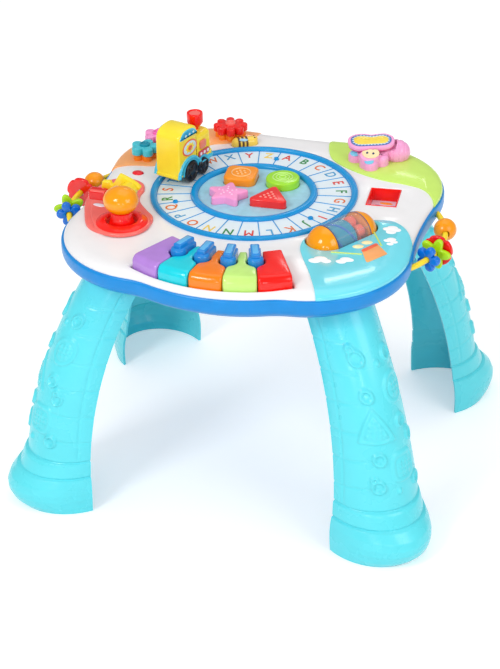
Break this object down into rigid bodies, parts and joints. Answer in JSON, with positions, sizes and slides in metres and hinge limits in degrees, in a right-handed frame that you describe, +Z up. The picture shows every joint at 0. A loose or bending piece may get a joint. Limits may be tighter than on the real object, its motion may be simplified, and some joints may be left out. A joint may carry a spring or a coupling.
{
  "type": "musical activity table",
  "caption": "Lobed play deck on four half-round legs, with a train on an alphabet track, shape tray, fanned keys, lever, rattle roller, flower spinners and bead bars.",
  "frame": {"origin": "on the floor, at the centre of the foot pattern", "axes": "+Z up, -Y towards the keyboard, +X to the right of someone facing the keyboard"},
  "size_m": [0.5206, 0.471, 0.3995],
  "materials": {
    "housing_blue": "gloss",
    "cover_white": "gloss",
    "leg_aqua": "satin gloss",
    "rim_blue": "gloss",
    "tray_aqua": "gloss",
    "block_orange": "gloss",
    "block_green": "gloss",
    "block_pink": "gloss",
    "block_red": "gloss",
    "key_purple": "gloss",
    "key_teal": "gloss",
    "key_orange": "gloss",
    "key_green": "gloss",
    "key_red": "gloss",
    "sharp_blue": "gloss",
    "frame_grey": "matt",
    "dome_rubber": "matt",
    "board_green": "matt",
    "speaker_dark": "matt",
    "cell_steel": "satin",
    "screw_steel": "satin",
    "switch_black": "matt",
    "panel_red": "gloss",
    "lever_red": "gloss",
    "lever_orange": "gloss",
    "lever_yellow": "gloss",
    "roller_orange": "gloss",
    "roller_clear": "clear gloss",
    "rattle_red": "gloss",
    "sky_aqua": "gloss",
    "meadow_green": "gloss",
    "sunset_orange": "gloss",
    "flower_teal": "gloss",
    "flower_pink": "gloss",
    "flower_red": "gloss",
    "bee_yellow": "gloss",
    "bug_pink": "gloss",
    "window_red": "gloss",
    "bar_yellow": "gloss",
    "bead_orange": "gloss",
    "bead_red": "gloss",
    "bead_green": "gloss",
    "bead_blue": "gloss",
    "train_yellow": "gloss",
    "train_blue": "gloss",
    "train_red": "gloss",
    "wheel_black": "satin"
  },
  "bodies": {
    "table": {"lower_housing": "housing_blue", "top_cover": "cover_white", "track_ring": "rim_blue", "shape_tray": "tray_aqua", "key_frame": "frame_grey", "switch_domes": "dome_rubber", "main_board": "board_green", "speaker": "speaker_dark", "battery_door": "housing_blue", "battery_cells": "cell_steel", "screws": "screw_steel", "lever_panel": "panel_red", "sky_patch": "sky_aqua", "meadow_patch": "meadow_green", "sunset_patch": "sunset_orange", "bug_body": "bug_pink", "window_well": "window_red", "bead_bars": "bar_yellow", "leg_front_left": "leg_aqua", "leg_front_right": "leg_aqua", "leg_back_right": "leg_aqua", "leg_back_left": "leg_aqua"},
    "key_1": {"key_purple": "key_purple"},
    "key_2": {"key_teal": "key_teal"},
    "key_3": {"key_orange": "key_orange"},
    "key_4": {"key_green": "key_green"},
    "key_5": {"key_red": "key_red"},
    "sharp_1": {"sharp_key_1": "sharp_blue"},
    "sharp_2": {"sharp_key_2": "sharp_blue"},
    "sharp_3": {"sharp_key_3": "sharp_blue"},
    "sharp_4": {"sharp_key_4": "sharp_blue"},
    "lever": {"lever_arm": "lever_red", "lever_head": "lever_orange", "lever_wings": "lever_yellow"},
    "roller": {"roller_caps": "roller_orange", "roller_drum": "roller_clear", "roller_beads": "rattle_red"},
    "flower_teal": {"flower_teal": "flower_teal"},
    "flower_pink": {"flower_pink": "flower_pink"},
    "flower_red": {"flower_red": "flower_red"},
    "drum_pad": {"drum_pad": "bug_pink"},
    "bee_button": {"bee_button": "bee_yellow"},
    "block_square": {"block_square": "block_orange"},
    "block_circle": {"block_circle": "block_green"},
    "block_star": {"block_star": "block_pink"},
    "block_triangle": {"block_triangle": "block_red"},
    "ball_bead_left": {"ball_bead_left": "bead_orange"},
    "disc_bead_left": {"disc_bead_left": "bead_red"},
    "star_bead_left": {"star_bead_left": "bead_green"},
    "flower_bead_left": {"flower_bead_left": "bead_blue"},
    "ball_bead_right": {"ball_bead_right": "bead_orange"},
    "disc_bead_right": {"disc_bead_right": "bead_red"},
    "star_bead_right": {"star_bead_right": "bead_green"},
    "flower_bead_right": {"flower_bead_right": "bead_blue"},
    "train": {"train_body": "train_yellow", "train_chassis": "train_blue"},
    "chimney": {"train_chimney": "train_red"},
    "wheels_rear": {"wheels_rear": "wheel_black"},
    "wheels_front": {"wheels_front": "wheel_black"},
    "power_slider": {"power_slider": "switch_black"}
  },
  "joints": [
    {"name": "key_1_press", "type": "hinge", "parent": "table", "child": "key_1", "pos_m": [-0.04459, -0.12348, 0.3175], "axis": [0.8988, -0.4384, 0], "range_deg": [0, 3.2], "stiffness_Nm_per_rad": 0.6, "springref_deg": -2.86},
    {"name": "key_2_press", "type": "hinge", "parent": "table", "child": "key_2", "pos_m": [-0.0224, -0.13133, 0.3175], "axis": [0.9744, -0.225, 0], "range_deg": [0, 3.2], "stiffness_Nm_per_rad": 0.6, "springref_deg": -2.86},
    {"name": "key_3_press", "type": "hinge", "parent": "table", "child": "key_3", "pos_m": [0.001, -0.134, 0.3175], "axis": [1, 0, 0], "range_deg": [0, 3.2], "stiffness_Nm_per_rad": 0.6, "springref_deg": -2.86},
    {"name": "key_4_press", "type": "hinge", "parent": "table", "child": "key_4", "pos_m": [0.0244, -0.13133, 0.3175], "axis": [0.9744, 0.225, 0], "range_deg": [0, 3.2], "stiffness_Nm_per_rad": 0.6, "springref_deg": -2.86},
    {"name": "key_5_press", "type": "hinge", "parent": "table", "child": "key_5", "pos_m": [0.04659, -0.12348, 0.3175], "axis": [0.8988, 0.4384, 0], "range_deg": [0, 3.2], "stiffness_Nm_per_rad": 0.6, "springref_deg": -2.86},
    {"name": "sharp_1_press", "type": "hinge", "parent": "table", "child": "sharp_1", "pos_m": [-0.03372, -0.12804, 0.3175], "axis": [0.9426, -0.3338, 0], "range_deg": [0, 3.2], "stiffness_Nm_per_rad": 0.6, "springref_deg": -2.86},
    {"name": "sharp_2_press", "type": "hinge", "parent": "table", "child": "sharp_2", "pos_m": [-0.01077, -0.13333, 0.3175], "axis": [0.9936, -0.1132, 0], "range_deg": [0, 3.2], "stiffness_Nm_per_rad": 0.6, "springref_deg": -2.86},
    {"name": "sharp_3_press", "type": "hinge", "parent": "table", "child": "sharp_3", "pos_m": [0.01277, -0.13333, 0.3175], "axis": [0.9936, 0.1132, 0], "range_deg": [0, 3.2], "stiffness_Nm_per_rad": 0.6, "springref_deg": -2.86},
    {"name": "sharp_4_press", "type": "hinge", "parent": "table", "child": "sharp_4", "pos_m": [0.03572, -0.12804, 0.3175], "axis": [0.9426, 0.3338, 0], "range_deg": [0, 3.2], "stiffness_Nm_per_rad": 0.6, "springref_deg": -2.86},
    {"name": "lever_tilt", "type": "hinge", "parent": "table", "child": "lever", "pos_m": [-0.138, -0.088, 0.32], "axis": [1, 0, 0], "range_deg": [-12, 12], "stiffness_Nm_per_rad": 0.5},
    {"name": "roller_spin", "type": "hinge", "parent": "table", "child": "roller", "pos_m": [0.116, -0.0455, 0.322], "axis": [0.5299, 0.848, 0], "continuous": true},
    {"name": "flower_teal_spin", "type": "hinge", "parent": "table", "child": "flower_teal", "pos_m": [-0.172, 0.092, 0.334], "axis": [0, 0, 1], "continuous": true},
    {"name": "flower_pink_spin", "type": "hinge", "parent": "table", "child": "flower_pink", "pos_m": [-0.168, 0.13, 0.334], "axis": [0, 0, 1], "continuous": true},
    {"name": "flower_red_spin", "type": "hinge", "parent": "table", "child": "flower_red", "pos_m": [-0.088, 0.18, 0.334], "axis": [0, 0, 1], "continuous": true},
    {"name": "drum_pad_press", "type": "slide", "parent": "table", "child": "drum_pad", "axis": [0, 0.1736, -0.9848], "range_m": [0, 0.0024], "stiffness_N_per_m": 300, "springref_m": -0.001},
    {"name": "bee_button_press", "type": "slide", "parent": "table", "child": "bee_button", "axis": [0, 0, -1], "range_m": [0, 0.0022], "stiffness_N_per_m": 300, "springref_m": -0.001},
    {"name": "block_square_lift", "type": "slide", "parent": "table", "child": "block_square", "axis": [0, 0, 1], "range_m": [0, 0.03]},
    {"name": "block_circle_lift", "type": "slide", "parent": "table", "child": "block_circle", "axis": [0, 0, 1], "range_m": [0, 0.03]},
    {"name": "block_star_lift", "type": "slide", "parent": "table", "child": "block_star", "axis": [0, 0, 1], "range_m": [0, 0.03]},
    {"name": "block_triangle_lift", "type": "slide", "parent": "table", "child": "block_triangle", "axis": [0, 0, 1], "range_m": [0, 0.03]},
    {"name": "ball_bead_left_slide", "type": "hinge", "parent": "table", "child": "ball_bead_left", "pos_m": [-0.10592, 0, 0.308], "axis": [0, 0, 1], "range_deg": [0, 5]},
    {"name": "disc_bead_left_slide", "type": "hinge", "parent": "table", "child": "disc_bead_left", "pos_m": [-0.10592, 0, 0.308], "axis": [0, 0, 1], "range_deg": [0, 11.4]},
    {"name": "star_bead_left_slide", "type": "hinge", "parent": "table", "child": "star_bead_left", "pos_m": [-0.10592, 0, 0.308], "axis": [0, 0, 1], "range_deg": [-5.7, 0.3]},
    {"name": "flower_bead_left_slide", "type": "hinge", "parent": "table", "child": "flower_bead_left", "pos_m": [-0.10592, 0, 0.308], "axis": [0, 0, 1], "range_deg": [-1.2, 0]},
    {"name": "ball_bead_right_slide", "type": "hinge", "parent": "table", "child": "ball_bead_right", "pos_m": [0.10192, 0, 0.308], "axis": [0, 0, 1], "range_deg": [-10.4, 4.6]},
    {"name": "disc_bead_right_slide", "type": "hinge", "parent": "table", "child": "disc_bead_right", "pos_m": [0.10192, 0, 0.308], "axis": [0, 0, 1], "range_deg": [0, 5.9]},
    {"name": "star_bead_right_slide", "type": "hinge", "parent": "table", "child": "star_bead_right", "pos_m": [0.10192, 0, 0.308], "axis": [0, 0, 1], "range_deg": [-2.2, 0]},
    {"name": "flower_bead_right_slide", "type": "hinge", "parent": "table", "child": "flower_bead_right", "pos_m": [0.10192, 0, 0.308], "axis": [0, 0, 1], "range_deg": [0, 1.2]},
    {"name": "train_run", "type": "hinge", "parent": "table", "child": "train", "pos_m": [-0.013, 0.033, 0.33], "axis": [0, 0, 1], "continuous": true},
    {"name": "chimney_press", "type": "slide", "parent": "train", "child": "chimney", "axis": [0, 0, -1], "range_m": [0, 0.003], "stiffness_N_per_m": 200, "springref_m": -0.001},
    {"name": "wheels_rear_roll", "type": "hinge", "parent": "train", "child": "wheels_rear", "pos_m": [-0.10974, 0.04753, 0.3395], "axis": [-0.9613, 0.2756, 0], "continuous": true},
    {"name": "wheels_front_roll", "type": "hinge", "parent": "train", "child": "wheels_front", "pos_m": [-0.10274, 0.07194, 0.337], "axis": [-0.9613, 0.2756, 0], "continuous": true},
    {"name": "power_switch", "type": "slide", "parent": "table", "child": "power_slider", "axis": [1, 0, 0], "range_m": [0, 0.006]}
  ],
  "couplings": [
    {"joint": "wheels_rear_roll", "follows": "train_run", "ratio": -7.4615},
    {"joint": "wheels_front_roll", "follows": "train_run", "ratio": -9.2381}
  ]
}
